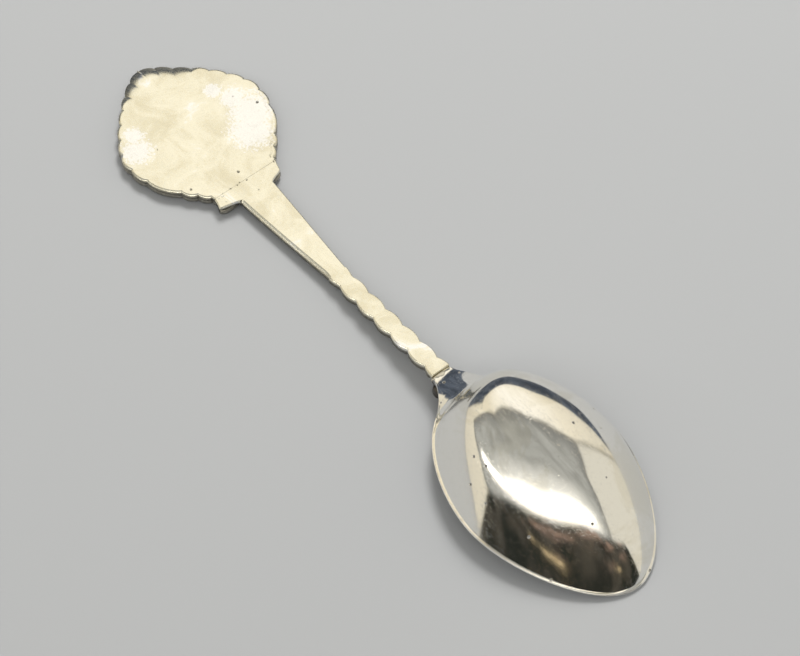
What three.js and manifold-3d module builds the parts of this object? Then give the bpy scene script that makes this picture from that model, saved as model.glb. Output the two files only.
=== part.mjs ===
// A souvenir spoon lying on its front, with the polished back of the bowl, stem and finial up.
// Millimetres. +X runs from the finial to the bowl's tip, and +Z points up from the resting surface.
import * as THREE from "three";
import { LoftGeometry } from "three/addons/geometries/LoftGeometry.js";
import { mergeVertices } from "three/addons/utils/BufferGeometryUtils.js";
import Module from "manifold-3d";

const wasm = await Module();
wasm.setup();

// Driving dimensions
const LENGTH = 119;
const GAP = 0.3;

// Bowl: an egg-shaped pressed shell with a pointed tip, and a narrow tab at the neck
const BOWL_TIP = LENGTH / 2;
const BOWL_REAR = 19.7;
const BOWL_WIDEST = 38.5;
const BOWL_HALF_WIDTH = 13.7;
const BOWL_CREST = 29.5;
const BOWL_DEPTH = 11.2;
const BOWL_WALL = 0.9;
const RIM_EDGE = 0.35;
const RIM_RISE = 3.2;
const RIM_BOW = 2.5;
const RIM_HANDLES = { rearSide: 8.5, rearWide: 7.8, frontWide: 8.5, frontTip: 6.65 };
const SECTION_SPREAD = 2.3;
const SECTION_FULLNESS = 1.3;
const TAB_END = 14.3;
const TAB_HALF_WIDTH = 2.2;
const TAB_THICKNESS = 0.8;
const TAB_FALL = 0.7;
const SHOULDER_ARC = 5.4;
const SHOULDER_LIFT = 0.9;
const RIDGE_AT = 0.78;
const WALL_FOOT_AT = 0.985;

// Stem: a bar with a flat back, smooth at the finial and scalloped like rope towards the bowl
const STEM_START = -30.85;
const STEM_END = 15.9;
const STEM_WIDE = 3.25;
const STEM_NARROW_BY = 1.85;
const STEM_TAPER_LENGTH = 24;
const STEM_BACK_LOW = 1.95;
const STEM_BACK_RISE = 2.4;
const STEM_THIN = 1.4;
const STEM_THICKEN = 0.5;
const SCALLOP_PITCH = 4;
const SCALLOP_PEAK = 3.6;
const SCALLOP_START = -8.4;
const SCALLOP_NOTCH = 1.3;
const SCALLOP_LOBE = 0.36;
const BEVEL_WIDTH = 0.45;
const BEVEL_DROP = 0.35;
const LAP_START = TAB_END - GAP;

// Finial: a scalloped frame that holds a flat back plate and a medallion on the front
const FINIAL_CENTRE = -44.5;
const FRAME_FRONT = 0.25;
const FRAME_FLOOR = 1;
const FRAME_BACK = 1.6;
const FRAME_LIP = 0.38;
const FRAME_OPENING = 3.2;
const NECK_CUT = -31.15;
const NECK_HALF_WIDTH = STEM_WIDE + GAP + 0.1;
const EARS = { far: 5.4, near: 6.4 };
const PLATE_BACK = STEM_BACK_LOW;
const LOBE_HEIGHT = 0.4;
const LOBE_STEPS = 7;
const LOBE_ENDS = [0, 0.07, 0.15, 0.23, 0.31, 0.39, 0.47, 0.56, 0.65, 0.81, 0.88, 0.94, 1];

// A closed mesh as a manifold solid, for joining and cutting.
// Triangles that shrink to a line where a ring closes on one point are left out.
function solidOf(geometry) {
  const bare = new THREE.BufferGeometry();
  bare.setAttribute("position", geometry.attributes.position);
  bare.setIndex(geometry.index);
  const merged = mergeVertices(bare, 1e-4);
  const triangles = [];
  for (let i = 0; i < merged.index.count; i += 3) {
    const [a, b, c] = merged.index.array.slice(i, i + 3);
    if (a !== b && b !== c && c !== a) triangles.push(a, b, c);
  }
  return new wasm.Manifold(
    new wasm.Mesh({
      numProp: 3,
      vertProperties: merged.attributes.position.array,
      triVerts: new Uint32Array(triangles),
    }),
  );
}

// A manifold solid as three.js geometry
function geometryOf(solid) {
  const mesh = solid.getMesh();
  const geometry = new THREE.BufferGeometry();
  geometry.setAttribute("position", new THREE.BufferAttribute(mesh.vertProperties, 3));
  geometry.setIndex(new THREE.BufferAttribute(mesh.triVerts, 1));
  geometry.computeVertexNormals();
  return geometry;
}

// A flat outline raised from one height to another
function slab(outline, low, high) {
  const geometry = new THREE.ExtrudeGeometry(new THREE.Shape(outline), {
    depth: high - low,
    bevelEnabled: false,
  });
  return geometry.translate(0, 0, low);
}

function smooth(x) {
  const t = THREE.MathUtils.clamp(x, 0, 1);
  return t * t * (3 - 2 * t);
}

// ---- Bowl ----

// Height of the rim's lowest edge, which touches the surface only at the tip and dips towards the tab's end
function rimHeight(x) {
  const along = THREE.MathUtils.clamp((x - BOWL_REAR) / (BOWL_TIP - BOWL_REAR), 0, 1);
  const dip = TAB_FALL * smooth((BOWL_REAR - x) / (BOWL_REAR - TAB_END));
  return RIM_RISE * (1 - along ** RIM_BOW) - dip;
}

// One half of the rim in plan, from under the neck round to the tip
function rimHalf() {
  const half = new THREE.CurvePath();
  half.add(
    new THREE.CubicBezierCurve(
      new THREE.Vector2(BOWL_REAR, 0),
      new THREE.Vector2(BOWL_REAR, RIM_HANDLES.rearSide),
      new THREE.Vector2(BOWL_WIDEST - RIM_HANDLES.rearWide, BOWL_HALF_WIDTH),
      new THREE.Vector2(BOWL_WIDEST, BOWL_HALF_WIDTH),
    ),
  );
  half.add(
    new THREE.CubicBezierCurve(
      new THREE.Vector2(BOWL_WIDEST, BOWL_HALF_WIDTH),
      new THREE.Vector2(BOWL_WIDEST + RIM_HANDLES.frontWide, BOWL_HALF_WIDTH),
      new THREE.Vector2(BOWL_TIP, RIM_HANDLES.frontTip),
      new THREE.Vector2(BOWL_TIP, 0),
    ),
  );
  return half;
}

// The neck tab's outline in plan, from the middle of its end out to the bowl's shoulder
function tabSide(shoulder) {
  const side = new THREE.Path();
  side.moveTo(TAB_END, 0);
  side.lineTo(TAB_END, TAB_HALF_WIDTH - 0.3);
  side.lineTo(TAB_END + 0.3, TAB_HALF_WIDTH);
  side.lineTo(TAB_END + 2.6, TAB_HALF_WIDTH);
  side.quadraticCurveTo(shoulder.x - 1.9, TAB_HALF_WIDTH + 0.5, shoulder.x, shoulder.y);
  return side;
}

// Stations round half the rim, closer together at the neck and at the tip.
// Each holds the rim point, its inward normal, the outer edge of rim or tab, how much it is tab,
// and how much the shoulder swells there.
function rimStations(steps) {
  const half = rimHalf();
  const length = half.getLength();
  const shoulder = half.getPointAt(SHOULDER_ARC / length);
  const side = tabSide(shoulder);
  const stations = [];
  for (let i = 0; i <= steps; i++) {
    const even = i / steps;
    const at = even - (0.6 * Math.sin(2 * Math.PI * even)) / (2 * Math.PI);
    const rim = half.getPointAt(THREE.MathUtils.clamp(at, 0, 1));
    const tangent = half.getTangentAt(THREE.MathUtils.clamp(at, 0, 1));
    const share = (at * length) / SHOULDER_ARC;
    stations.push({
      rim,
      inward: new THREE.Vector2(tangent.y, -tangent.x),
      edge: share < 1 ? side.getPointAt(share) : rim,
      tab: 1 - smooth(share),
      lift: SHOULDER_LIFT * Math.sin(Math.PI * THREE.MathUtils.clamp((share - 0.4) / 0.6, 0, 1)),
    });
  }
  return stations;
}

// Height of the dome over the rim at a share of the way from the crest to the rim
function dome(share, depth) {
  return depth * Math.max(1 - share ** SECTION_SPREAD, 0) ** (1 / SECTION_FULLNESS);
}

function domePoint(rim, share, depth) {
  const x = BOWL_CREST + share * (rim.x - BOWL_CREST);
  return new THREE.Vector3(x, share * rim.y, rimHeight(x) + dome(share, depth));
}

// The profile at one station: over the dome, down the wall, round the rim and back up inside
function bowlProfile({ rim, inward, edge, tab, lift }) {
  const points = [];
  const ridge = THREE.MathUtils.lerp(WALL_FOOT_AT, RIDGE_AT, tab);
  const rings = 12;
  for (let i = 0; i <= rings; i++) {
    const share = ridge * Math.sin((i / rings) * (Math.PI / 2));
    points.push(domePoint(rim, share, BOWL_DEPTH));
  }
  const height = rimHeight(edge.x);
  const top = height + lift + THREE.MathUtils.lerp(RIM_EDGE, TAB_THICKNESS, tab);
  const footHeight = top + 0.25 * (1 - tab);
  const bend = rim.clone().lerp(edge, 0.12);
  const root = rim.clone().lerp(edge, 0.5);
  const skirt = new THREE.QuadraticBezierCurve3(
    points[rings],
    new THREE.Vector3(bend.x, bend.y, footHeight + 0.2 * (1 - tab)),
    new THREE.Vector3(root.x, root.y, footHeight),
  );
  points.push(skirt.getPoint(0.35), skirt.getPoint(0.7), skirt.getPoint(1));
  points.push(new THREE.Vector3(edge.x, edge.y, top));
  points.push(new THREE.Vector3(edge.x, edge.y, height));
  const inner = rim.clone().addScaledVector(inward, BOWL_WALL);
  const innerDepth = BOWL_DEPTH - BOWL_WALL;
  for (let i = rings; i >= 0; i--) {
    const share = Math.sin((i / rings) * (Math.PI / 2));
    points.push(domePoint(inner, share, innerDepth));
  }
  return points;
}

function makeBowl() {
  const half = rimStations(44).map(bowlProfile);
  const mirrored = half.slice(1, -1).map((profile) => profile.map((p) => new THREE.Vector3(p.x, -p.y, p.z)));
  const profiles = [...half, ...mirrored.reverse()];
  const rings = profiles[0].map((_, i) => profiles.map((profile) => profile[i]));
  return geometryOf(solidOf(new LoftGeometry(rings)));
}

// ---- Stem ----

function stemBack(x) {
  const along = THREE.MathUtils.clamp((x - STEM_START) / (STEM_END - STEM_START), 0, 1);
  return STEM_BACK_LOW + STEM_BACK_RISE * along ** 2.6;
}

function stemThickness(x) {
  return STEM_THIN + (STEM_THICKEN * (x - STEM_START)) / (STEM_END - STEM_START);
}

function stemHalfWidth(x) {
  const along = Math.max((x - STEM_START) / STEM_TAPER_LENGTH, 0);
  const taper = STEM_WIDE - STEM_NARROW_BY * along ** 1.15;
  if (x < SCALLOP_START) return taper;
  const wave = Math.abs(Math.cos((Math.PI * (x - SCALLOP_PEAK)) / SCALLOP_PITCH));
  return Math.max(taper, SCALLOP_NOTCH + SCALLOP_LOBE * wave ** 0.8);
}

// The stem's section: flat back, bevelled shoulders and a rounded front
function stemSection(x) {
  const half = stemHalfWidth(x);
  const flat = x < SCALLOP_START ? half - BEVEL_WIDTH : Math.min(half - 0.1, SCALLOP_NOTCH - 0.05);
  const back = stemBack(x);
  const thick = stemThickness(x);
  const side = [
    [flat, back],
    [half, back - BEVEL_DROP],
    [half, back - 0.65 * thick],
    [half * 0.8, back - 0.92 * thick],
    [half * 0.4, back - thick],
  ];
  const right = side.map(([y, z]) => new THREE.Vector3(x, y, z));
  const left = side.map(([y, z]) => new THREE.Vector3(x, -y, z));
  return [...left, ...right.reverse()];
}

function makeStem() {
  const sections = [];
  const smoothSteps = 16;
  for (let i = 0; i < smoothSteps; i++) {
    sections.push(stemSection(STEM_START + ((SCALLOP_START - STEM_START) * i) / smoothSteps));
  }
  const ropeSteps = 50;
  for (let i = 0; i <= ropeSteps; i++) {
    sections.push(stemSection(SCALLOP_START + ((STEM_END - SCALLOP_START) * i) / ropeSteps));
  }
  const bar = solidOf(new LoftGeometry(sections, { capStart: true, capEnd: true }));
  // The end is cut away underneath, so that it laps over the bowl's tab.
  const tabTop = rimHeight(STEM_END) + TAB_THICKNESS;
  const room = new THREE.BoxGeometry(20, 20, 20);
  room.translate(LAP_START + 10, 0, tabTop + GAP - 10);
  return geometryOf(bar.subtract(solidOf(room)));
}

// ---- Neck ----

// The solder fillet across the stem's end, where it stands on the tab
function makeNeckSolder() {
  const start = STEM_END + GAP;
  const base = rimHeight(start + 0.9) + TAB_THICKNESS + GAP;
  const wedge = new THREE.Shape();
  wedge.moveTo(start, -(base + 0.5));
  wedge.quadraticCurveTo(start + 0.15, -(base + 0.12), start + 0.9, -base);
  wedge.lineTo(start, -base);
  const geometry = new THREE.ExtrudeGeometry(wedge, {
    depth: 2 * (TAB_HALF_WIDTH - 0.5),
    bevelEnabled: false,
    curveSegments: 4,
  });
  geometry.rotateX(-Math.PI / 2);
  return geometry.translate(0, 0.5 - TAB_HALF_WIDTH, 0);
}

// The small leaf on the front of the joint, under the tab
function makeNeckLeaf() {
  const start = TAB_END + 0.9;
  const leaf = new THREE.Shape();
  leaf.moveTo(start, 1.2);
  leaf.quadraticCurveTo(start + 1, 1.3, start + 1.5, 2.3);
  leaf.quadraticCurveTo(start + 2.6, 3, start + 3.4, 1.8);
  leaf.quadraticCurveTo(start + 4.2, 0.8, start + 5.4, 0);
  leaf.quadraticCurveTo(start + 4.2, -0.8, start + 3.4, -1.8);
  leaf.quadraticCurveTo(start + 2.6, -3, start + 1.5, -2.3);
  leaf.quadraticCurveTo(start + 1, -1.3, start, -1.2);
  const geometry = new THREE.ExtrudeGeometry(leaf, {
    depth: 0.4,
    bevelEnabled: true,
    bevelThickness: 0.2,
    bevelSize: 0.2,
    bevelOffset: -0.2,
    bevelSegments: 1,
    curveSegments: 6,
  });
  return geometry.translate(0, 0, rimHeight(TAB_END) - GAP - 0.6);
}

// ---- Finial ----

// One side of the finial's smooth outline, from its top round to the ear beside the neck
function finialSide() {
  return new THREE.SplineCurve([
    new THREE.Vector2(-LENGTH / 2 + LOBE_HEIGHT, 0),
    new THREE.Vector2(-57.8, 2.7),
    new THREE.Vector2(-54.4, 6.4),
    new THREE.Vector2(-50.4, 9.9),
    new THREE.Vector2(-46.4, 12.2),
    new THREE.Vector2(-42.6, 12.4),
    new THREE.Vector2(-38.6, 11.2),
    new THREE.Vector2(-34.9, 8.7),
    new THREE.Vector2(-31.8, 6.1),
    new THREE.Vector2(-29.6, 5.4),
  ]);
}

// Moves a point towards the finial's centre
function inset(point, distance) {
  const centre = new THREE.Vector2(FINIAL_CENTRE, 0);
  const arm = point.clone().sub(centre);
  return centre.add(arm.setLength(arm.length() - distance));
}

function mirror(points) {
  const back = points.map((p) => new THREE.Vector2(p.x, -p.y)).reverse();
  return back;
}

// One side of the frame's scalloped outline, ending in an ear beside the slot for the stem
function frameSide(ear) {
  const side = finialSide();
  const points = [];
  for (let lobe = 0; lobe + 1 < LOBE_ENDS.length; lobe++) {
    const start = LOBE_ENDS[lobe];
    const span = LOBE_ENDS[lobe + 1] - start;
    for (let i = lobe === 0 ? 1 : 0; i < LOBE_STEPS; i++) {
      const share = i / LOBE_STEPS;
      const bulge = LOBE_HEIGHT * Math.sin(Math.PI * share) ** 0.6;
      points.push(inset(side.getPointAt(start + span * share), -bulge));
    }
  }
  points.push(new THREE.Vector2(-29.3, ear));
  points.push(new THREE.Vector2(-28.75, NECK_HALF_WIDTH));
  points.push(new THREE.Vector2(NECK_CUT, NECK_HALF_WIDTH));
  return points;
}

function frameOutline() {
  const top = new THREE.Vector2(-LENGTH / 2, 0);
  return [top, ...frameSide(EARS.far), ...mirror(frameSide(EARS.near))];
}

// The same outline without scallops or ears, closed across the neck
function insetOutline(distance, neck) {
  const side = finialSide();
  const points = [];
  const steps = 26;
  for (let i = 1; i <= steps; i++) {
    const point = inset(side.getPointAt((0.93 * i) / steps), distance);
    if (point.x < neck - 0.2) points.push(point);
  }
  points.push(new THREE.Vector2(neck, points[points.length - 1].y - 1.2));
  const top = inset(side.getPointAt(0), distance);
  return [top, ...points, ...mirror(points)];
}

function makeFrame() {
  const body = solidOf(slab(frameOutline(), FRAME_FRONT, FRAME_BACK));
  const recess = solidOf(slab(insetOutline(FRAME_LIP, 0), FRAME_FLOOR, FRAME_BACK + 1));
  const neckRecess = new THREE.BoxGeometry(6, 2 * NECK_HALF_WIDTH, 2);
  neckRecess.translate(NECK_CUT, 0, FRAME_FLOOR + 1);
  const opening = solidOf(slab(insetOutline(FRAME_OPENING, NECK_CUT - 2.2), -1, FRAME_BACK + 1));
  return geometryOf(body.subtract(recess).subtract(solidOf(neckRecess)).subtract(opening));
}

function makeBackPlate() {
  const outline = insetOutline(FRAME_LIP + GAP, NECK_CUT - 0.05);
  return slab(outline, FRAME_FLOOR + GAP, PLATE_BACK);
}

function makeMedallion() {
  const bevel = 0.3;
  const shape = new THREE.Shape(insetOutline(FRAME_OPENING + GAP, NECK_CUT - 2.5));
  const geometry = new THREE.ExtrudeGeometry(shape, {
    depth: FRAME_FLOOR - 2 * bevel,
    bevelEnabled: true,
    bevelThickness: bevel,
    bevelSize: bevel,
    bevelOffset: -bevel,
    bevelSegments: 2,
  });
  return geometry.translate(0, 0, bevel);
}

// ---- Assembly ----

const polished = { color: 0xe6e0cf, roughness: 0.12, metalness: 1 };
const satin = { color: 0xe2d8bd, roughness: 0.35, metalness: 1 };
const solder = { color: 0xb9b3a2, roughness: 0.45, metalness: 1 };

function part(name, geometry, finish) {
  const mesh = new THREE.Mesh(geometry, new THREE.MeshStandardMaterial(finish));
  mesh.name = name;
  return mesh;
}

const spoon = new THREE.Group();
spoon.add(part("bowl", makeBowl(), polished));
spoon.add(part("stem", makeStem(), satin));
spoon.add(part("neck_solder", makeNeckSolder(), solder));
spoon.add(part("neck_leaf", makeNeckLeaf(), satin));
spoon.add(part("finial_frame", makeFrame(), satin));
spoon.add(part("finial_back_plate", makeBackPlate(), satin));
spoon.add(part("finial_medallion", makeMedallion(), satin));

export default spoon;
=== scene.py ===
import math

import bpy
import numpy as np
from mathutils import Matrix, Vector


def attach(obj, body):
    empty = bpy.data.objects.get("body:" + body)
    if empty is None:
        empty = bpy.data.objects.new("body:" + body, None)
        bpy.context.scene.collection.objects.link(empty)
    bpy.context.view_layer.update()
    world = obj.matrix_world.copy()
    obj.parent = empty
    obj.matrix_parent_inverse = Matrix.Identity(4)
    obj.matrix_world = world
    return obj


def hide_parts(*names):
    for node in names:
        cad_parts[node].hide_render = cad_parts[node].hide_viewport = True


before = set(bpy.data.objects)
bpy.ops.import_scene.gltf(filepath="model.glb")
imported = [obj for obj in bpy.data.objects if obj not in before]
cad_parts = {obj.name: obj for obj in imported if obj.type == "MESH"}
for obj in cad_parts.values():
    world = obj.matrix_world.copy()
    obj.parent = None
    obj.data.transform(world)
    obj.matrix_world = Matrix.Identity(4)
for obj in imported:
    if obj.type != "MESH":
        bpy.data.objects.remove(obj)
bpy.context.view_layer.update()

MM = 0.001

# All sizes are in millimetres, in the row frame. Most are the CAD part's own.

# Bowl: the near wall is less full than the far one, from what each mirrors
TIP, REAR, WIDEST, HALF_WIDTH = 59.5, 19.7, 38.5, 13.7
CREST, DEPTH, WALL = 29.5, 11.2, 0.9
RIM_EDGE, RIM_RISE, RIM_BOW = 0.35, 3.2, 2.5
REAR_SIDE, REAR_WIDE, FRONT_WIDE, FRONT_TIP = 8.5, 7.8, 8.5, 6.65
FULLNESS, NEAR_FULLNESS = 1.3, 0.94
SHOULDER_ARC, FOOT_AT = 5.4, 0.985
GATHER, GATHER_ARC = 0.14, 9.0
AROUND_STEPS, OUTER_STEPS, SKIRT_STEPS, ROLL_STEPS, INNER_STEPS = 190, 84, 22, 11, 44

# Tab under the stem's end
TAB_END, TAB_HALF, TAB_NARROW, TAB_THICK, TAB_FALL = 14.3, 2.2, 1.45, 0.8, 0.7
TAB_START = TAB_END + 0.5

# Crowned slope from the stem's end up the rear of the bowl: its height along the middle,
# then how much it falls to the sides
SADDLE_HEIGHTS = [
    (14.3, 3.3),
    (15.7, 3.44),
    (16.05, 4.06),
    (17, 4.28),
    (18, 4.7),
    (19, 5.2),
    (20, 5.74),
    (21, 6.3),
    (22, 6.86),
    (23, 7.4),
    (24, 7.8),
    (26, 8.2),
    (30, 5.0),
    (36, -20.0),
    (70, -60.0),
]
SADDLE_CROWN = np.array(
    [(14.3, 0.02), (15.9, 0.05), (17, 0.065), (18.5, 0.09), (20, 0.115), (21, 0.12), (22.4, 0.1), (24, 0.08)]
)

# Stem: plain beside the finial, with rope lobes towards the bowl
STEM_START, STEM_END, STEM_WIDE, STEM_NARROW_BY, STEM_TAPER = -31.12, 15.9, 3.25, 1.85, 24
BACK_START, BACK_LOW, BACK_RISE, THIN, THICKEN = -30.85, 1.95, 2.4, 1.4, 0.5
PITCH, PEAK, SCALLOP_START, NOTCH, LOBE = 4, 3.6, -8.4, 1.22, 0.46
ROPE_START = SCALLOP_START - 1.5
BEVEL_WIDTH, BEVEL_DROP = 0.5, 0.42
PLAIN_WIDTH, PLAIN_DROP, ROUNDING = 0.16, 0.14, 0.17
END_ROUND = 0.12
EARS_END = -28.2
FAR_EAR = np.array(
    [(-31.13, 5.9), (-30.2, 5.6), (-29.35, 5.35), (-29.0, 4.85), (-28.75, 4.0), (-28.5, 3.4), (-28.2, 3.0)]
)
NEAR_EAR = np.array(
    [(-31.13, 6.0), (-30.2, 6.15), (-29.4, 6.4), (-29.15, 6.15), (-28.8, 4.5), (-28.5, 3.4), (-28.2, 3.0)]
)

# Finial
CENTRE = -44.5
FRAME_FRONT, FRAME_FLOOR, FRAME_OPENING = 0.25, 1.0, 3.2
NECK_CUT, NECK_HALF = -31.15, 3.4
EAR_FAR, EAR_NEAR = 5.4, 6.4
LOBE_HEIGHT, LOBE_STEPS = 0.4, 16
PLATE_LOW = 1.12
LOBE_ENDS = [0, 0.07, 0.15, 0.23, 0.31, 0.39, 0.47, 0.56, 0.65, 0.81, 0.88, 0.94, 1]

# The direction that the flat backs mirror to the camera, and the camera's place
FLAT_MIRROR = (-0.427, 0.349, 0.834)
CAMERA_TARGET, CAMERA_DISTANCE = Vector((4.19, 1.84, 0)), 418.6
CAMERA_AZIMUTH, CAMERA_ELEVATION = 50.7, 56.55


def smooth(x, low=0.0, high=1.0):
    t = np.clip((np.asarray(x, float) - low) / (high - low), 0, 1)
    return t * t * (3 - 2 * t)


# ---- Meshes ----


def mesh_piece(name, points, faces, material, replaces, sharp=35):
    mesh = bpy.data.meshes.new(name)
    mesh.from_pydata([tuple(p * MM) for p in np.asarray(points, float)], [], faces)
    mesh.validate()
    mesh.update()
    piece = bpy.data.objects.new(name, mesh)
    bpy.context.scene.collection.objects.link(piece)
    mesh.polygons.foreach_set("use_smooth", [True] * len(mesh.polygons))
    mesh.set_sharp_from_angle(angle=math.radians(sharp))
    mesh.materials.append(material)
    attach(piece, "root")
    if replaces:
        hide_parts(replaces)
    return piece


def add_attribute(piece, name, values):
    layer = piece.data.attributes.new(name, "FLOAT", "POINT")
    layer.data.foreach_set("value", np.asarray(values, np.float32))


def tube_faces(rings, points, closed_ends):
    """Quads between closed rings of the same number of points, and a face over each end if asked."""
    faces = []
    for i in range(rings - 1):
        for j in range(points):
            k = (j + 1) % points
            faces.append((i * points + j, i * points + k, (i + 1) * points + k, (i + 1) * points + j))
    if closed_ends:
        faces.append(tuple(range(points - 1, -1, -1)))
        faces.append(tuple((rings - 1) * points + j for j in range(points)))
    return faces


def bezier(corners, t):
    p = np.asarray(corners, float)
    t = np.asarray(t, float)[:, None]
    if len(p) == 3:
        return (1 - t) ** 2 * p[0] + 2 * (1 - t) * t * p[1] + t * t * p[2]
    return (1 - t) ** 3 * p[0] + 3 * (1 - t) ** 2 * t * p[1] + 3 * (1 - t) * t * t * p[2] + t**3 * p[3]


def spline(points, steps):
    """Catmull-Rom through the points."""
    p = np.asarray(points, float)
    p = np.concatenate([[2 * p[0] - p[1]], p, [2 * p[-1] - p[-2]]])
    out = []
    for i in range(1, len(p) - 2):
        for t in np.linspace(0, 1, steps, endpoint=False):
            a = 2 * p[i]
            b = p[i + 1] - p[i - 1]
            c = 2 * p[i - 1] - 5 * p[i] + 4 * p[i + 1] - p[i + 2]
            d = -p[i - 1] + 3 * p[i] - 3 * p[i + 1] + p[i + 2]
            out.append(0.5 * (a + b * t + c * t * t + d * t**3))
    out.append(p[-2])
    return np.array(out)


class Path:
    """A polyline that is read by the share of its length."""

    def __init__(self, points):
        self.points = np.asarray(points, float)
        steps = np.linalg.norm(np.diff(self.points, axis=0), axis=1)
        self.at = np.concatenate([[0], np.cumsum(steps)])
        self.length = self.at[-1]

    def point(self, share):
        where = np.clip(np.asarray(share, float), 0, 1) * self.length
        return np.stack([np.interp(where, self.at, self.points[:, k]) for k in (0, 1)], -1)

    def tangent(self, share):
        d = self.point(np.asarray(share) + 0.002) - self.point(np.asarray(share) - 0.002)
        return d / np.linalg.norm(d, axis=-1, keepdims=True)


# ---- Bowl ----


def rim_height(x):
    along = np.clip((x - REAR) / (TIP - REAR), 0, 1)
    dip = TAB_FALL * smooth((REAR - x) / (REAR - TAB_END))
    return RIM_RISE * (1 - along**RIM_BOW) - dip


def rim_half():
    t = np.linspace(0, 1, 600)
    rear = bezier([(REAR, 0), (REAR, REAR_SIDE), (WIDEST - REAR_WIDE, HALF_WIDTH), (WIDEST, HALF_WIDTH)], t)
    front = bezier([(WIDEST, HALF_WIDTH), (WIDEST + FRONT_WIDE, HALF_WIDTH), (TIP, FRONT_TIP), (TIP, 0)], t)
    return Path(np.concatenate([rear, front[1:]]))


def tab_side(shoulder):
    """Side of the tab: narrow under the stem's end, then widening to the bowl's shoulder."""
    t = np.linspace(0, 1, 60)
    start = [(TAB_START, 0), (TAB_START, TAB_NARROW - 0.3)]
    corner = bezier([start[1], (TAB_START, TAB_NARROW), (TAB_END + 0.8, TAB_NARROW)], t)
    waist = (STEM_END + 0.1, TAB_NARROW + 0.1)
    bend = bezier([waist, (STEM_END + 1.9, TAB_HALF + 0.1), (shoulder[0] - 1.6, TAB_HALF + 0.9), shoulder], t)
    return Path(np.concatenate([start, corner[1:], [waist], bend[1:]]))


def dome(share, depth, fullness):
    """Height of the bowl's wall at a share of the way from the crest to the rim."""
    soft = 0.5 * share**2 + 0.5 * share**2.65
    return depth * np.clip(1 - soft, 0, None) ** (1 / fullness)


def dome_points(rim, share, depth, gather, fullness):
    x = CREST + share * (rim[0] - CREST)
    high = dome(np.minimum(share * (1 + gather), 1), depth, fullness)
    return np.stack([x, share * rim[1], rim_height(x) + high], -1)


SADDLE = spline(SADDLE_HEIGHTS, 12)


def saddle(plan):
    """Height of the crowned slope that runs from the stem's end up the rear of the bowl."""
    x, y = plan[..., 0], np.abs(plan[..., 1])
    middle = np.interp(x, SADDLE[:, 0], SADDLE[:, 1])
    crown = np.interp(x, SADDLE_CROWN[:, 0], SADDLE_CROWN[:, 1])
    return middle - crown * y**2 - 0.6 * np.maximum(y - 4.6, 0) ** 2


def soft_max(a, b, blend=0.3):
    """The larger of two heights, with a rounded hollow where they meet."""
    return (a + b + np.sqrt((a - b) ** 2 + blend**2)) / 2


def bowl_profile(rim, inward, edge, gather, fullness):
    """From the crest over the outside to the edge, round it, and back up the inside."""
    share = FOOT_AT * np.sin(np.linspace(0, 1, OUTER_STEPS) * math.pi / 2)
    outer = dome_points(rim, share, DEPTH, gather, fullness)
    height = rim_height(edge[0])
    foot = height + RIM_EDGE + 0.25 * min(np.linalg.norm(edge - rim) + 0.6, 1)
    top = float(soft_max(height + RIM_EDGE, saddle(edge)))
    bend = rim + 0.12 * (edge - rim)
    root = rim + 0.9 * (edge - rim)
    t = np.linspace(0, 1, SKIRT_STEPS)[1:]
    skirt = bezier([outer[-1], (*bend, foot + 0.2), (*root, foot)], t)
    skin = np.concatenate([outer, skirt])
    skin[:, 2] = soft_max(skin[:, 2], saddle(skin[:, :2]))
    middle, half = (top + height) / 2, (top - height) / 2
    centre = rim + inward * 1.2
    towards = (centre - edge) / np.linalg.norm(centre - edge)
    turn = np.linspace(math.pi / 2, -math.pi / 2, ROLL_STEPS)
    cut = 0.16 * (1 - np.cos(turn))
    roll = np.stack(
        [edge[0] + towards[0] * cut, edge[1] + towards[1] * cut, middle + half * np.sin(turn)], -1
    )
    inner_rim = rim + inward * WALL
    share = np.sin(np.linspace(1, 0, INNER_STEPS) * math.pi / 2)
    inner = dome_points(inner_rim, share, DEPTH - WALL, gather, fullness)
    return np.concatenate([skin, roll, inner])


def make_bowl(material):
    half = rim_half()
    shoulder = half.point(SHOULDER_ARC / half.length)
    side = tab_side(shoulder)
    sides = {1: [], -1: []}
    for i in range(AROUND_STEPS + 1):
        even = i / AROUND_STEPS
        # Closer together at the tab and the tip
        at = even - 0.55 * math.sin(2 * math.pi * even) / (2 * math.pi)
        rim = half.point(at)
        tangent = half.tangent(at)
        share = at * half.length / SHOULDER_ARC
        edge = side.point(share) if share < 1 else rim
        inward = np.array([tangent[1], -tangent[0]])
        gather = GATHER * float(smooth(1 - at * half.length / GATHER_ARC))
        for sign, profiles in sides.items():
            fullness = FULLNESS + (NEAR_FULLNESS - FULLNESS) * float(smooth(-sign * rim[1], -3, 8))
            profiles.append(bowl_profile(rim, inward, edge, gather, fullness) * [1, sign, 1])
    loops = np.array(sides[1] + sides[-1][-2:0:-1])
    around, deep = loops.shape[:2]
    grid = loops[:, 1:-1]
    points = [loops[0, 0], *grid.reshape(-1, 3), loops[0, -1]]
    wide = deep - 2
    faces = []
    for i in range(around):
        k = (i + 1) % around
        faces.append((0, 1 + k * wide, 1 + i * wide))
        for j in range(wide - 1):
            faces.append((1 + i * wide + j, 1 + k * wide + j, 1 + k * wide + j + 1, 1 + i * wide + j + 1))
        faces.append((1 + i * wide + wide - 1, 1 + k * wide + wide - 1, len(points) - 1))
    points = np.array(points)
    # The wall was pressed and burnished by hand, so it is never quite true.
    x, y, z = points.T
    hand = 0.020 * np.sin(0.41 * x + 0.30 * y + 1.0) + 0.016 * np.sin(0.23 * x - 0.52 * y + 2.2)
    hand += 0.010 * np.sin(0.93 * x + 0.71 * y) * np.sin(0.67 * y - 0.35 * x + 0.6)
    inside = smooth(z - rim_height(x), 0.6, 4.0)
    points[:, 2] += hand * inside
    faces = [tuple(reversed(f)) for f in faces]
    return mesh_piece("bowl_shell", points, faces, material, "bowl", sharp=32)


# ---- Stem ----


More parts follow.
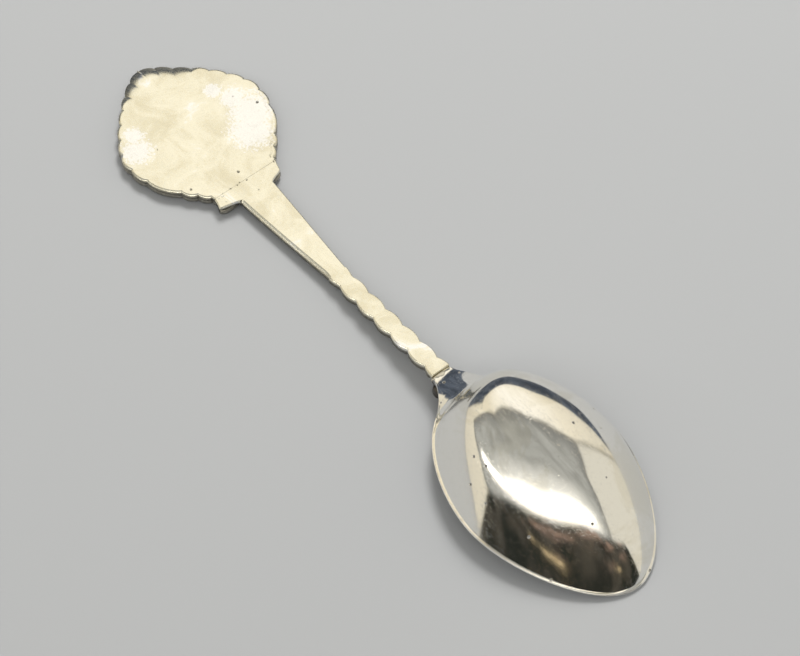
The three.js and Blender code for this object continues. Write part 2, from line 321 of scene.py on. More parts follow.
def stem_back(x):
    along = np.clip((x - BACK_START) / (STEM_END - BACK_START), 0, 1)
    return BACK_LOW + BACK_RISE * along**2.6


def stem_half(x, side):
    """Half the stem's width on one side (1 is the far side), with the ear beside the finial."""
    along = max((x - BACK_START) / STEM_TAPER, 0)
    taper = STEM_WIDE - STEM_NARROW_BY * along**1.15
    if x < EARS_END:
        ear = FAR_EAR if side > 0 else NEAR_EAR
        return max(float(np.interp(x, ear[:, 0], ear[:, 1])), taper)
    if x < SCALLOP_START:
        return taper
    wave = abs(math.cos(math.pi * (x - PEAK) / PITCH))
    return max(taper, NOTCH + LOBE * wave**0.8)


def stem_section(x):
    """A closed loop of points round the stem at x, 13 for each side from the back to the front."""
    lobe = float(smooth(x, ROPE_START, SCALLOP_START + 1))
    ear = float(smooth(-x, -EARS_END, -EARS_END + 0.5))
    back = stem_back(x)
    thick = THIN + THICKEN * (x - BACK_START) / (STEM_END - BACK_START) - 0.55 * ear
    swell = 1 + 0.12 * lobe * abs(math.cos(math.pi * (x - PEAK) / PITCH))
    halves = []
    for side in (1, -1):
        half = stem_half(x, side)
        plain_width, plain_drop = (PLAIN_WIDTH, PLAIN_DROP) if side > 0 else (BEVEL_WIDTH, BEVEL_DROP)
        straight = (1 - lobe) * (1 - ear)
        width = ROUNDING + (plain_width - ROUNDING) * straight
        drop = ROUNDING + (plain_drop - ROUNDING) * straight
        flat = half - width
        halves.append(
            [
                (side * 0.35 * flat, back + 0.012),
                (side * 0.8 * flat, back + 0.005),
                (side * (flat - 0.05), back),
                (side * (flat - 0.01), back - 0.004),
                (side * (flat + 0.03), back - 0.022),
                (side * (half - 0.07), back - drop * 0.86),
                (side * (half - 0.02), back - drop),
                (side * half, back - drop - 0.06),
                (side * (half + 0.01), back - 0.5 * thick),
                (side * half, back - 0.66 * thick),
                (side * half * 0.94, back - 0.82 * thick * swell),
                (side * half * 0.78, back - 0.94 * thick * swell),
                (side * half * 0.35, back - thick * swell),
            ]
        )
    loop = np.array(halves[0] + halves[1][::-1])
    return np.column_stack([np.full(len(loop), x), loop])


def make_stem(material):
    ears = np.linspace(STEM_START, EARS_END + 0.4, 30)
    plain = np.linspace(EARS_END + 0.4, ROPE_START, 60)[1:]
    rope = np.linspace(ROPE_START, STEM_END - END_ROUND, 420)[1:]
    sections = [stem_section(x) for x in np.concatenate([ears, plain, rope])]
    last = sections[-1].copy()
    middle = last.mean(0)
    for out, shrink in ((0.06, 0.985), (0.1, 0.95), (0.12, 0.88)):
        ring = middle + (last - middle) * [1, shrink, shrink]
        ring[:, 0] = STEM_END - END_ROUND + out
        sections.append(ring)
    sections = np.array(sections)
    # The end laps over the bowl's tab, and its step meets the tab's end.
    lap = rim_height(STEM_END) + TAB_THICK + 0.03
    over = smooth(sections[..., 0], TAB_END + 0.52, TAB_END + 0.72)
    sections[..., 2] = np.where(
        over > 0, np.maximum(sections[..., 2], lap * over - 3 * (1 - over)), sections[..., 2]
    )
    count = sections.shape[1]
    faces = [tuple(reversed(f)) for f in tube_faces(len(sections), count, True)]
    depth = stem_back(sections[..., 0]) - sections[..., 2]
    piece = mesh_piece(
        "stem_bar", sections.reshape(-1, 3), faces, material, "stem", sharp=50
    )
    # edge grows with depth down the side walls; the material paints shade there, darkest low on the walls
    # beneath the stem.
    add_attribute(piece, "edge", smooth(depth, 0.05, 0.62).reshape(-1))
    return piece


# ---- Neck ----


def make_solder(material):
    """A thin smear of solder over the joint, from the near half of the stem's end on to the bowl."""
    around, rings = 56, 9
    points = []
    for i in range(rings):
        s = i / (rings - 1)
        for j in range(around):
            a = 2 * math.pi * j / around
            ragged = 1 + 0.16 * math.sin(3 * a + 0.7) + 0.09 * math.sin(7 * a) + 0.05 * math.sin(13 * a + 2)
            x = STEM_END + 0.28 + 0.62 * s * ragged * math.cos(a)
            y = -0.55 + 1.25 * s * ragged * math.sin(a)
            base = max(float(saddle(np.array([x, y]))), 3.5)
            points.append((x, y, base + 0.15 * (1 - s**4) - 0.03))
    points = np.array(points)
    low = points[-around:].copy()
    low[:, 2] = points[-around:, 2] - 0.12
    points = np.concatenate([points, low])
    faces = [tuple(reversed(f)) for f in tube_faces(rings + 1, around, True)]
    return mesh_piece("neck_solder_fillet", points, faces, material, "neck_solder", sharp=60)


def leaf_outline():
    start = TAB_END + 0.9
    t = np.linspace(0, 1, 14)
    runs = [
        [(start, 1.2), (start + 1, 1.3), (start + 1.5, 2.3)],
        [(start + 1.5, 2.3), (start + 2.6, 3.0), (start + 3.4, 1.8)],
        [(start + 3.4, 1.8), (start + 4.2, 0.8), (start + 5.4, 0)],
    ]
    half = np.concatenate([bezier(r, t)[:-1] for r in runs] + [[(start + 5.4, 0)]])
    return np.concatenate([half, (half * [1, -1])[-2::-1]])


def make_leaf(material):
    outline = leaf_outline()
    middle = outline.mean(0)
    low = rim_height(TAB_END) - 1.2
    rings = []
    for cut, share in ((0.25, 0.0), (0.06, 0.1), (0.0, 0.3), (0.05, 0.75), (0.1, 0.95), (0.3, 1.0)):
        d = outline - middle
        far = np.linalg.norm(d, axis=1, keepdims=True)
        ring = middle + d / far * np.maximum(far - cut, 0.2)
        vein = 0.07 * np.sin(ring[:, 0] * 5.5 + np.abs(ring[:, 1]) * 2.5) * smooth(-share, -0.7, -0.1)
        # The top meets the underside of the tab.
        top = rim_height(ring[:, 0]) + 0.12
        rings.append(np.column_stack([ring, low + share * (top - low) + vein]))
    points = np.concatenate(rings)
    faces = tube_faces(len(rings), len(outline), True)
    return mesh_piece("neck_leaf_ornament", points, faces, material, "neck_leaf", sharp=60)


# ---- Finial ----


FINIAL_SIDE = Path(
    spline(
        [
            (-59.1, 0),
            (-57.8, 2.7),
            (-54.4, 6.4),
            (-50.4, 9.9),
            (-46.4, 12.2),
            (-42.6, 12.4),
            (-38.6, 11.2),
            (-34.9, 8.7),
            (-31.8, 6.1),
            (-29.6, 5.4),
        ],
        24,
    )
)


def inset(points, distance):
    """Points moved towards the finial's centre."""
    d = np.asarray(points, float) - [CENTRE, 0]
    far = np.linalg.norm(d, axis=-1, keepdims=True)
    return [CENTRE, 0] + d / far * np.maximum(far - distance, 0)


def plate_outline(distance):
    """The outline without its lobes, moved in and closed across the neck, the far side first."""
    side = inset(FINIAL_SIDE.point(np.linspace(0, 0.93, 150)), distance)
    side = side[side[:, 0] < NECK_CUT - 0.02]
    last = side[-1]
    corner = np.column_stack([np.full(9, NECK_CUT), np.linspace(last[1] - 0.15, 0, 9)])
    half = np.concatenate([side, corner])
    return np.concatenate([half, (half * [1, -1])[-2:0:-1]])


def scallops():
    """One side of the finial's edge, from its tip to the neck, as a row of bulging lobes."""
    points = [(-TIP, 0)]
    for lobe in range(len(LOBE_ENDS) - 1):
        start, span = LOBE_ENDS[lobe], LOBE_ENDS[lobe + 1] - LOBE_ENDS[lobe]
        share = np.arange(1 if lobe == 0 else 0, LOBE_STEPS) / LOBE_STEPS
        bulge = LOBE_HEIGHT * np.sin(math.pi * share) ** 0.6
        base = FINIAL_SIDE.point(start + span * share)
        for b, p in zip(bulge, base):
            points.append(inset(p, -b))
    return np.array(points)


def make_plate(material):
    """The back's cover: a low wall, an edge dressed down over the scallops, and a faintly crowned flat."""
    half = scallops()
    half = half[half[:, 0] < NECK_CUT - 0.1]
    across = np.column_stack([np.full(15, NECK_CUT + 0.01), np.linspace(half[-1, 1] - 0.05, 0, 15)])
    half = np.concatenate([half, across])
    outline = np.concatenate([half, (half * [1, -1])[-2:0:-1]])
    count = len(outline)
    neck = outline[:, 0] > NECK_CUT - 0.05
    angle = np.arctan2(outline[:, 1], outline[:, 0] - CENTRE)
    # The edge is dressed down wider at the tip and on the far side.
    dressed = smooth(np.cos(angle - 3.05), 0.78, 0.99)
    wide = 0.42 + 2.7 * dressed
    drop = 0.24 + 0.5 * dressed
    wide[neck], drop[neck] = 0.08, 0.012
    grooved = smooth(np.cos(angle - 0.75), 0.55, 0.85) * ~neck
    # edge marks where the material paints shade: fully on the low wall, then along the dressed-down edge and
    # in the groove, none on the flat.
    rings, edge = [], []
    for d, z in ((0.5, PLATE_LOW), (0.07, PLATE_LOW), (0.02, PLATE_LOW + 0.06)):
        rings.append(np.column_stack([inset(outline, np.where(neck, 0, d)[:, None]), np.full(count, z)]))
        edge.append(np.full(count, 1.0))
    near_edge = (0, 0.03, 0.07, 0.13, 0.21, 0.3, 0.42, 0.55, 0.66, 0.74, 0.82, 0.9)
    for d in (*near_edge, 1.0, 1.2, 1.5, 1.9, 2.4, 3.0):
        left = np.clip(1 - d / wide, 0, 1)
        groove = 0.05 * math.exp(-(((d - 0.82) / 0.1) ** 2)) * grooved
        z = BACK_LOW - drop * left**2.1 - groove
        rings.append(np.column_stack([inset(outline, d), z]))
        edge.append(0.7 * smooth(left, 0.3, 1) + 6 * groove)
    last = rings[-1][:, :2]
    for s in np.linspace(0.9, 0.05, 16):
        ring = [CENTRE, 0] + (last - [CENTRE, 0]) * s
        rings.append(np.column_stack([ring, BACK_LOW + 0.015 * (1 - s * s) * np.ones(count)]))
        edge.append(np.zeros(count))
    points = np.concatenate(rings)
    faces = tube_faces(len(rings), count, True)
    piece = mesh_piece("finial_back", points, faces, material, "finial_back_plate", sharp=55)
    add_attribute(piece, "edge", np.concatenate(edge))
    return piece


def frame_side(ear):
    """One side of the border: the scallops, then the ear beside the neck."""
    points = list(scallops())
    t = np.linspace(0, 1, 9)
    a = points[-1]
    points.extend(bezier([a, (-30.0, ear - 0.5), (-29.3, ear)], t)[1:])
    points.extend(bezier([(-29.3, ear), (-28.4, ear - 0.6), (-28.75, NECK_HALF)], t)[1:])
    points.extend(np.linspace((-28.75, NECK_HALF), (NECK_CUT, NECK_HALF), 6)[1:])
    return np.array(points)


def make_frame(material):
    far = frame_side(EAR_FAR)
    near = (frame_side(EAR_NEAR) * [1, -1])[:0:-1]
    outline = np.concatenate([far, near])
    count = len(outline)
    opening = plate_outline(FRAME_OPENING)
    angles = np.arctan2(opening[:, 1], opening[:, 0] - CENTRE)
    order = np.argsort(angles)
    reach = np.linalg.norm(opening - [CENTRE, 0], axis=1)
    outline_angle = np.arctan2(outline[:, 1], outline[:, 0] - CENTRE)
    inner_reach = np.interp(outline_angle, angles[order], reach[order], period=2 * math.pi)
    outward = np.column_stack([np.cos(outline_angle), np.sin(outline_angle)])
    inner = [CENTRE, 0] + outward * inner_reach[:, None]
    middle = (FRAME_FRONT + PLATE_LOW) / 2
    half = (PLATE_LOW - FRAME_FRONT) / 2
    rings = []
    # Out over the back, round the bead and in again along the front
    rings.append(np.column_stack([inner, np.full(count, FRAME_FLOOR)]))
    rings.append(np.column_stack([inset(outline, 0.9), np.full(count, PLATE_LOW - 0.04)]))
    for turn in np.linspace(1.25, -1.25, 12):
        cut = 0.34 * (1 - math.cos(turn)) * 0.9
        z = middle + half * math.sin(turn) / math.sin(1.25)
        rings.append(np.column_stack([inset(outline, cut), np.full(count, z)]))
    rings.append(np.column_stack([inset(outline, 1.2), np.full(count, FRAME_FRONT)]))
    rings.append(np.column_stack([inner, np.full(count, FRAME_FRONT + 0.15)]))
    points = np.concatenate(rings)
    faces = tube_faces(len(rings), count, False)
    n = len(rings)
    for j in range(count):
        k = (j + 1) % count
        faces.append(((n - 1) * count + j, (n - 1) * count + k, k, j))
    faces = [tuple(reversed(f)) for f in faces]
    piece = mesh_piece(
        "finial_scalloped_frame", points, faces, material, "finial_frame", sharp=50
    )
    # The whole frame takes painted shade at this strength, broken up by the mottle.
    add_attribute(piece, "edge", np.full(len(points), 0.75))
    return piece


def make_medallion(material):
    outline = plate_outline(FRAME_OPENING + 0.05)
    outline = outline[outline[:, 0] < NECK_CUT + 5]
    count = len(outline)
    rings = []
    for d, z in (
        (0.5, FRAME_FLOOR - 0.02),
        (0.0, FRAME_FLOOR - 0.05),
        (0.0, 0.32),
        (0.06, 0.15),
        (0.18, 0.04),
        (0.34, 0.0),
        (0.8, 0.0),
        (1.0, 0.03),
        (1.15, 0.12),
        (1.3, 0.15),
        (1.45, 0.12),
        (1.6, 0.03),
        (1.8, 0.0),
    ):
        rings.append(np.column_stack([inset(outline, d), np.full(count, z)]))
    last = rings[-1][:, :2]
    for s in np.linspace(0.85, 0.1, 8):
        rings.append(np.column_stack([[CENTRE, 0] + (last - [CENTRE, 0]) * s, np.zeros(count)]))
    points = np.concatenate(rings)
    faces = tube_faces(len(rings), count, True)
    return mesh_piece(
        "finial_front_medallion", points, faces, material, "finial_medallion", sharp=50
    )


# ---- Materials ----


class Graph:
    """Short calls for building a node tree."""

    def __init__(self, tree):
        self.tree = tree
        tree.nodes.clear()

    def node(self, kind, inputs=None, **settings):
        made = self.tree.nodes.new(kind)
        for key, value in settings.items():
            setattr(made, key, value)
        for key, value in (inputs or {}).items():
            self.put(made.inputs[key], value)
        return made

    def put(self, socket, value):
        if isinstance(value, bpy.types.NodeSocket):
            self.tree.links.new(value, socket)
        else:
            socket.default_value = value

    def math(self, operation, a, b=0.0, clamp=False):
        made = self.node("ShaderNodeMath", operation=operation, use_clamp=clamp)
        self.put(made.inputs[0], a)
        self.put(made.inputs[1], b)
        return made.outputs[0]

    def range(self, value, low, high, out_low=0.0, out_high=1.0):
        made = self.node("ShaderNodeMapRange", interpolation_type="SMOOTHSTEP")
        self.put(made.inputs["Value"], value)
        self.put(made.inputs["From Min"], low)
        self.put(made.inputs["From Max"], high)
        self.put(made.inputs["To Min"], out_low)
        self.put(made.inputs["To Max"], out_high)
        return made.outputs["Result"]

    def mix(self, factor, a, b, blend="MIX"):
        made = self.node("ShaderNodeMix", data_type="RGBA", blend_type=blend)
        self.put(made.inputs[0], factor)
        self.put(made.inputs[6], a)
        self.put(made.inputs[7], b)
        return made.outputs[2]

    def noise(self, vector, scale, detail=4.0, roughness=0.55, distortion=0.0):
        made = self.node("ShaderNodeTexNoise")
        self.put(made.inputs["Vector"], vector)
        self.put(made.inputs["Scale"], scale)
        self.put(made.inputs["Detail"], detail)
        self.put(made.inputs["Roughness"], roughness)
        self.put(made.inputs["Distortion"], distortion)
        return made.outputs[0]

    def stretched(self, vector, turn, scale):
        made = self.node("ShaderNodeMapping", vector_type="POINT")
        self.put(made.inputs["Vector"], vector)
        self.put(made.inputs["Rotation"], (0, 0, math.radians(turn)))
        self.put(made.inputs["Scale"], scale)
        return made.outputs[0]


def scratches(graph, vector, turn, stretch, scale, width, broken):
    """Hairlines: where a stretched noise crosses its middle value, broken up by another noise."""
    field = graph.noise(graph.stretched(vector, turn, stretch), scale, 2.0, 0.5, 0.15)
    line = graph.range(graph.math("ABSOLUTE", graph.math("SUBTRACT", field, 0.5)), 0.0, width, 1.0, 0.0)
    gaps = graph.range(graph.noise(vector, scale * 1.7, 2.0), broken, broken + 0.08)
    return graph.math("MULTIPLY", line, gaps)


def silver(name, look):
    """A worn silver, with painted shade along its edges and white patches painted as highlights as well as
    polish. look holds its colours and roughness, and how stained, pitted and scratched it is.
    """
    material = bpy.data.materials.new(name)
    material.use_nodes = True
    graph = Graph(material.node_tree)
    place = graph.node("ShaderNodeTexCoord").outputs["Object"]
    mm = graph.node("ShaderNodeVectorMath", operation="SCALE")
    graph.put(mm.inputs[0], place)
    graph.put(mm.inputs["Scale"], 1000.0)
    mm = mm.outputs[0]
    patina = graph.noise(mm, look["patch_scale"], 5.0, 0.62, 0.8)
    mottle = graph.noise(mm, look["mottle_scale"], 9.0, 0.7, 0.3)
    grain = graph.noise(mm, 6.5, 4.0, 0.6)
    polish_and_highlight = graph.range(patina, look["polish_and_highlight_from"], look["polish_and_highlight_from"] + 0.10)
    # Rubbed spots, painted in the bright colour as highlights as well as polish.
    for x, y, size in look.get("rubbed_highlight_spots", ()):
        away = graph.node("ShaderNodeVectorMath", operation="DISTANCE")
        graph.put(away.inputs[0], mm)
        away.inputs[1].default_value = (x, y, BACK_LOW)
        reach = graph.math("DIVIDE", away.outputs["Value"], size)
        ragged = graph.math("ADD", reach, graph.math("MULTIPLY", graph.math("SUBTRACT", mottle, 0.5), 3.4))
        polish_and_highlight = graph.math("MAXIMUM", polish_and_highlight, graph.range(ragged, 0.75, 1.15, 1.0, 0.0))
    cast = graph.math("ADD", graph.math("MULTIPLY", patina, 0.55), graph.math("MULTIPLY", mottle, 0.45))
    base = graph.mix(graph.range(cast, 0.40, 0.56), look["tan"], look["dull"])
    colour = graph.mix(polish_and_highlight, base, look["bright"])
    stain = graph.range(mottle, 0.50, 0.72, 0.0, look["stain"])
    colour = graph.mix(stain, colour, look["tarnish_and_shade"])
    # Painted shade: where the edge attribute marks lower side walls, edges and grooves, the dark colour is
    # mixed in, broken up by the mottle.
    edge = graph.node("ShaderNodeAttribute", attribute_name="edge").outputs["Fac"]
    edge_shade = graph.math("MULTIPLY", graph.range(edge, 0.15, 1.0), graph.range(mottle, 0.25, 0.5))
    colour = graph.mix(graph.math("MULTIPLY", edge_shade, look["edge"]), colour, look["tarnish_and_shade"])
    # Pits
    cells = graph.node("ShaderNodeTexVoronoi", feature="F1")
    graph.put(cells.inputs["Vector"], mm)
    graph.put(cells.inputs["Scale"], look["pit_scale"])
    pit = graph.range(cells.outputs["Distance"], look["pit_size"] * 0.45, look["pit_size"], 1.0, 0.0)
    pit = graph.math("MULTIPLY", pit, graph.range(patina, look["pit_from"], look["pit_from"] + 0.06))
    if look.get("seam"):
        split = graph.node("ShaderNodeSeparateXYZ")
        graph.put(split.inputs[0], mm)
        at, wide = look["seam"]
        beside = graph.math("ABSOLUTE", graph.math("SUBTRACT", split.outputs[0], at))
        row = graph.range(beside, wide * 0.4, wide, 1.0, 0.0)
        small = graph.node("ShaderNodeTexVoronoi", feature="F1")
        graph.put(small.inputs["Vector"], mm)
        graph.put(small.inputs["Scale"], 1.7)
        dots = graph.range(small.outputs["Distance"], 0.10, 0.26, 1.0, 0.0)
        dots = graph.math("MULTIPLY", dots, graph.range(grain, 0.42, 0.56))
        pit = graph.math("MAXIMUM", pit, graph.math("MULTIPLY", dots, row))
    colour = graph.mix(graph.math("MULTIPLY", pit, look["pit_depth"]), colour, look["pit_colour"])
    # Scratches
    amount = look["scratch"]
    lines = graph.math(
        "MAXIMUM",
        scratches(graph, mm, 25, (0.25, 2.6, 1.0), 0.9, 0.010, 0.50),
        scratches(graph, mm, -40, (0.3, 3.1, 1.0), 0.7, 0.008, 0.52),
    )
    lines = graph.math("MAXIMUM", lines, scratches(graph, mm, 78, (0.22, 3.4, 1.0), 1.3, 0.010, 0.53))
    rough = graph.range(patina, 0.3, 0.7, look["rough"] * 1.25, look["rough"] * 0.75)
    spots = graph.range(mottle, 0.4, 0.7)
    rough = graph.math("ADD", rough, graph.math("MULTIPLY", spots, look["rough"] * 0.35))
    brushed = graph.noise(graph.stretched(mm, look["brush"], (0.12, 5.0, 1.0)), 1.6, 3.0, 0.6)
    rough = graph.math("ADD", rough, graph.math("MULTIPLY", graph.range(brushed, 0.45, 0.75), 0.035))
    rough = graph.math("ADD", rough, graph.math("MULTIPLY", lines, 0.03 * amount))
    rough = graph.math("ADD", rough, graph.math("MULTIPLY", edge_shade, 0.15))
    rough = graph.math("ADD", rough, graph.math("MULTIPLY", pit, 0.3), clamp=True)
    height = graph.math("MULTIPLY", grain, look["grain"])
    height = graph.math("ADD", height, graph.math("MULTIPLY", mottle, look["wave"]))
    height = graph.math("ADD", height, graph.math("MULTIPLY", brushed, look["brushing"]))
    height = graph.math("SUBTRACT", height, graph.math("MULTIPLY", lines, 0.0018 * amount))
    height = graph.math("SUBTRACT", height, graph.math("MULTIPLY", pit, 0.08))
    bump = graph.node("ShaderNodeBump")
    bump.inputs["Strength"].default_value = 1.0
    bump.inputs["Distance"].default_value = MM
    graph.put(bump.inputs["Height"], height)
    shader = graph.node("ShaderNodeBsdfPrincipled")
    shader.inputs["Metallic"].default_value = 1.0
    graph.put(shader.inputs["Base Color"], colour)
    graph.put(shader.inputs["Roughness"], rough)
    graph.put(shader.inputs["Normal"], bump.outputs[0])
    out = graph.node("ShaderNodeOutputMaterial")
    graph.put(out.inputs["Surface"], shader.outputs[0])
    return material


POLISHED = dict(
    bright=(0.95, 0.93, 0.88, 1),
    dull=(0.91, 0.88, 0.81, 1),
    tan=(0.88, 0.85, 0.77, 1),
    tarnish_and_shade=(0.52, 0.46, 0.36, 1),
    patch_scale=0.09,
    polish_and_highlight_from=0.42,
    stain=0.10,
    edge=0.0,
    pit_scale=0.42,
    pit_size=0.11,
    pit_from=0.50,
    pit_depth=0.75,
    pit_colour=(0.10, 0.09, 0.07, 1),
    mottle_scale=1.1,
    scratch=1.0,
    brush=35,
    brushing=0.0010,
    rough=0.075,
    grain=0.0005,
    wave=0.0032,
)
SATIN = dict(
    # Pure white: the polished patches are painted highlights as well as polish.
    bright=(1.0, 1.0, 1.0, 1),
    dull=(0.955, 0.92, 0.78, 1),
    tan=(0.86, 0.805, 0.635, 1),
    # Nearly black: the colour of the small stains and of the painted shade along the edges.
    tarnish_and_shade=(0.13, 0.12, 0.10, 1),
    patch_scale=0.16,
    polish_and_highlight_from=0.60,
    # Places of painted highlight patches on the finial, also standing for rubbed spots.
    rubbed_highlight_spots=[
        (-41.0, 8.8, 3.7),
        (-38.2, 6.4, 3.5),
        (-45.0, 8.2, 2.2),
        (-46.0, -9.8, 2.4),
        (-48.8, -8.4, 1.6),
        (-48.2, 6.6, 1.4),
    ],
    stain=0.022,
    # Strength of the painted shade along the edges.
    edge=0.85,
    pit_scale=0.36,
    pit_size=0.10,
    pit_from=0.52,
    pit_depth=0.7,
    pit_colour=(0.16, 0.14, 0.10, 1),
    mottle_scale=2.4,
    scratch=0.6,
    brush=-50,
    brushing=0.0012,
    rough=0.22,
    grain=0.0016,
    wave=0.0045,
    seam=(-31.0, 0.42),
)
CAST = dict(
    SATIN,
    bright=(0.95, 0.93, 0.86, 1),
    dull=(0.84, 0.81, 0.72, 1),
    tan=(0.74, 0.7, 0.6, 1),
    rubbed_highlight_spots=(),
    stain=0.25,
    rough=0.27,
    wave=0.02,
)
LEAF = dict(
    SATIN,
    bright=(0.30, 0.27, 0.23, 1),
    dull=(0.12, 0.11, 0.1, 1),
    tan=(0.08, 0.075, 0.065, 1),
    rubbed_highlight_spots=(),
    stain=0.6,
    edge=0.0,
    rough=0.35,
)
SOLDER = dict(
    SATIN,
    bright=(0.96, 0.93, 0.84, 1),
    dull=(0.82, 0.78, 0.68, 1),
    tan=(0.7, 0.66, 0.57, 1),
    rubbed_highlight_spots=(),
    stain=0.25,
    rough=0.26,
    wave=0.03,
)


# ---- Set: floor, world, lights and camera ----


def direction(azimuth, elevation):
    """Unit vector towards a place in the room, from degrees round the spoon and degrees up."""
    a, e = math.radians(azimuth), math.radians(elevation)
    return Vector((math.sin(a) * math.cos(e), -math.cos(a) * math.cos(e), math.sin(e)))


def make_floor():
    mesh = bpy.data.meshes.new("floor")
    size, cells, below = 1.6, 24, 0.00002
    points = [
        (size * (2 * i / cells - 1), size * (2 * j / cells - 1), -below)
        for i in range(cells + 1)
        for j in range(cells + 1)
    ]
    row = cells + 1
    faces = [
        (i * row + j, (i + 1) * row + j, (i + 1) * row + j + 1, i * row + j + 1)
        for i in range(cells)
        for j in range(cells)
    ]
    mesh.from_pydata(points, [], faces)
    floor = bpy.data.objects.new("floor", mesh)
    bpy.context.scene.collection.objects.link(floor)
    material = bpy.data.materials.new("pale_floor")
    material.use_nodes = True
    shader = material.node_tree.nodes["Principled BSDF"]
    shader.inputs["Base Color"].default_value = (0.44, 0.46, 0.50, 1)
    shader.inputs["Roughness"].default_value = 0.85
    mesh.materials.append(material)


def half_space(graph, parts, normal, offset, soft=0.03):
    """1 where a direction lies on the side of a plane that normal points to, with a soft edge."""
    total = offset
    for part, share in zip(parts, normal):
        if share:
            total = graph.math("ADD", total, graph.math("MULTIPLY", part, share))
    return graph.range(total, -soft, soft)


def make_world():
    """A plain room: cream walls, a dark side behind the camera, a grey ceiling panel and two lights."""
    world = bpy.data.worlds.new("studio")
    bpy.context.scene.world = world
    world.use_nodes = True
    graph = Graph(world.node_tree)
    split = graph.node("ShaderNodeSeparateXYZ")
    graph.put(split.inputs[0], graph.node("ShaderNodeTexCoord").outputs["Generated"])
    parts = [split.outputs[0], split.outputs[1], split.outputs[2]]
    height = parts[2]

    def all_of(*masks):
        total = masks[0]
        for mask in masks[1:]:
            total = graph.math("MULTIPLY", total, mask)
        return total

    def sector(start, end, low, high, soft=0.03):
        """A patch of wall between two azimuths (degrees from +X) and two heights."""
        a, b = math.radians(start), math.radians(end)
        return all_of(
            half_space(graph, parts, (-math.sin(a), math.cos(a), 0), 0.0, soft),
            half_space(graph, parts, (math.sin(b), -math.cos(b), 0), 0.0, soft),
            half_space(graph, parts, (0, 0, 1), -low, soft),
            half_space(graph, parts, (0, 0, -1), high, soft),
        )

    place = graph.node("ShaderNodeTexCoord").outputs["Generated"]
    walls = graph.mix(graph.range(height, 0.0, 0.75), (0.72, 0.67, 0.55, 1), (0.90, 0.83, 0.67, 1))
    # The lit wall that the flat backs mirror
    lit = half_space(graph, parts, FLAT_MIRROR, -0.90, 0.10)
    walls = graph.mix(lit, walls, (1.07, 1.02, 0.90, 1))
    # The corner of the room on the far side, and the paler wall beyond it
    side_wall = all_of(
        half_space(graph, parts, (1.0, -0.1, 0.0), 0.0, 0.012), half_space(graph, parts, (0, 1, 0), 0.0)
    )
    walls = graph.mix(side_wall, walls, (0.72, 0.69, 0.60, 1))
    corner = all_of(
        half_space(graph, parts, (1.0, -0.1, 0.0), 0.014, 0.012),
        half_space(graph, parts, (-1.0, 0.1, 0.0), 0.014, 0.012),
        half_space(graph, parts, (0, 1, 0), 0.0),
    )
    walls = graph.mix(corner, walls, (0.34, 0.32, 0.27, 1))

    def ceiling_panel(margin, soft):
        """A panel with four sides. Its corner between the two far ones turns inwards."""

        def sides(*normals):
            return [half_space(graph, parts, normal, margin, soft) for normal in normals]

        far = sides((0.602, -0.7985, 0.097), (0.929, -0.371, 0.325))
        rest = sides((0.403, 0.915, 2.97), (-0.679, -0.734, 0.98))
        return all_of(graph.math("MAXIMUM", *far), *rest)

    border = ceiling_panel(0.022, 0.02)
    colour = graph.mix(border, walls, (0.22, 0.215, 0.19, 1))
    shade = ceiling_panel(-0.01, 0.012)
    panel = ceiling_panel(-0.10, 0.09)
    cloud = graph.noise(place, 5.0, 3.0, 0.6)
    grey = graph.mix(graph.range(cloud, 0.35, 0.65), (0.33, 0.33, 0.305, 1), (0.45, 0.45, 0.42, 1))
    grey = graph.mix(panel, (0.24, 0.24, 0.225, 1), grey)
    colour = graph.mix(shade, colour, grey)

    def strip(centre, along, long, wide, soft):
        """A long light. Its centre and direction are in x and y, and long and wide are half its sizes."""
        across = (along[1], -along[0])
        far = centre[0] * across[0] + centre[1] * across[1]
        on = centre[0] * along[0] + centre[1] * along[1]
        return all_of(
            half_space(graph, parts, (across[0], across[1], wide - far), 0.0, soft),
            half_space(graph, parts, (-across[0], -across[1], wide + far), 0.0, soft),
            half_space(graph, parts, (along[0], along[1], long - on), 0.0, 2 * soft),
            half_space(graph, parts, (-along[0], -along[1], long + on), 0.0, 2 * soft),
        )

    glow = strip((0.50, -0.74), (0.5, 0.866), 0.75, 0.36, 0.26)
    colour = graph.mix(glow, colour, (0.95, 0.93, 0.86, 1))
    main = strip((0.60, -0.80), (0.5, 0.866), 0.60, 0.145, 0.15)
    second = strip((-0.42, -1.68), (0.9, 0.433), 0.66, 0.11, 0.06)
    colour = graph.mix(graph.math("MAXIMUM", main, second), colour, (4.0, 3.85, 3.5, 1))
    # The dark side of the room, behind the camera, with a few warm things in it
    dark = all_of(
        half_space(graph, parts, (0.877, -0.48, -1.2), 0.0, 0.07),
        half_space(graph, parts, (0.990, -0.139, 0.0), 0.0, 0.02),
        half_space(graph, parts, (0.469, -0.883, 0.0), 0.0, 0.02),
    )
    streaks = graph.node("ShaderNodeMapping", vector_type="POINT")
    graph.put(streaks.inputs["Vector"], place)
    streaks.inputs["Scale"].default_value = (1.0, 1.0, 3.2)
    streak = graph.noise(streaks.outputs[0], 4.0, 4.0, 0.6, 0.6)
    shadow = graph.mix(graph.range(cloud, 0.42, 0.62), (0.022, 0.024, 0.020, 1), (0.075, 0.068, 0.055, 1))
    warm = graph.math("MULTIPLY", graph.range(streak, 0.53, 0.62), graph.range(height, 0.32, 0.50))
    shadow = graph.mix(warm, shadow, (0.30, 0.205, 0.155, 1))
    lamps = graph.math(
        "MAXIMUM", sector(-66, -48, 0.368, 0.392, 0.007), sector(-15, -4, 0.36, 0.385, 0.007)
    )
    lamps = graph.math("MULTIPLY", lamps, graph.range(streak, 0.36, 0.48))
    shadow = graph.mix(lamps, shadow, (0.85, 0.66, 0.38, 1))
    colour = graph.mix(dark, colour, shadow)
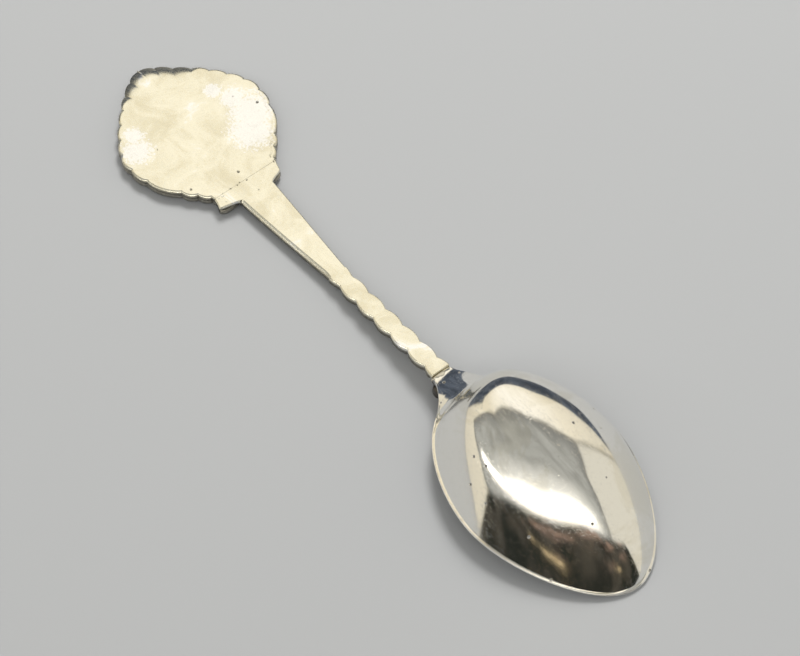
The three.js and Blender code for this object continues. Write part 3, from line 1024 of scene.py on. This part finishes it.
    # A dark curtain low on the far side
    curtain = all_of(
        half_space(graph, parts, (-0.805, 0.03, -0.593), 0.0, 0.02),
        half_space(graph, parts, (-0.36, 1.0, 0.0), 0.0, 0.03),
        half_space(graph, parts, (0.0, 0.0, -1.0), 0.52, 0.03),
    )
    cloth = graph.mix(graph.range(cloud, 0.40, 0.62), (0.055, 0.065, 0.085, 1), (0.11, 0.13, 0.165, 1))
    colour = graph.mix(curtain, colour, cloth)
    background = graph.node("ShaderNodeBackground")
    graph.put(background.inputs["Color"], colour)
    background.inputs["Strength"].default_value = 1.0
    out = graph.node("ShaderNodeOutputWorld")
    graph.put(out.inputs["Surface"], background.outputs[0])


def make_light(name, azimuth, elevation, distance, size, power, colour, mirrored):
    light = bpy.data.lights.new(name, "AREA")
    light.shape = "DISK"
    light.size = size
    light.energy = power
    light.color = colour
    holder = bpy.data.objects.new(name, light)
    bpy.context.scene.collection.objects.link(holder)
    towards = direction(azimuth, elevation)
    holder.location = towards * distance
    holder.rotation_mode = "QUATERNION"
    holder.rotation_quaternion = towards.to_track_quat("Z", "Y")
    holder.visible_glossy = mirrored


def make_camera():
    camera = bpy.data.cameras.new("camera")
    camera.sensor_width = 36
    camera.lens = 126
    camera.clip_start = 0.01
    holder = bpy.data.objects.new("camera", camera)
    bpy.context.scene.collection.objects.link(holder)
    towards = direction(CAMERA_AZIMUTH, CAMERA_ELEVATION)
    holder.location = CAMERA_TARGET * MM + towards * (CAMERA_DISTANCE * MM)
    holder.rotation_mode = "QUATERNION"
    holder.rotation_quaternion = towards.to_track_quat("Z", "Y")
    bpy.context.scene.camera = holder


polished = silver("polished_silver", POLISHED)
satin = silver("satin_silver", SATIN)
cast = silver("cast_silver", CAST)
make_bowl(polished)
make_stem(satin)
make_solder(silver("solder_silver", SOLDER))
make_leaf(silver("dark_silver", LEAF))
make_frame(cast)
make_plate(satin)
make_medallion(cast)
make_floor()
make_world()
make_light("key", -140, 52, 0.9, 0.35, 6.0, (1.0, 0.96, 0.88), False)
make_camera()
bpy.context.scene.view_settings.view_transform = "Standard"
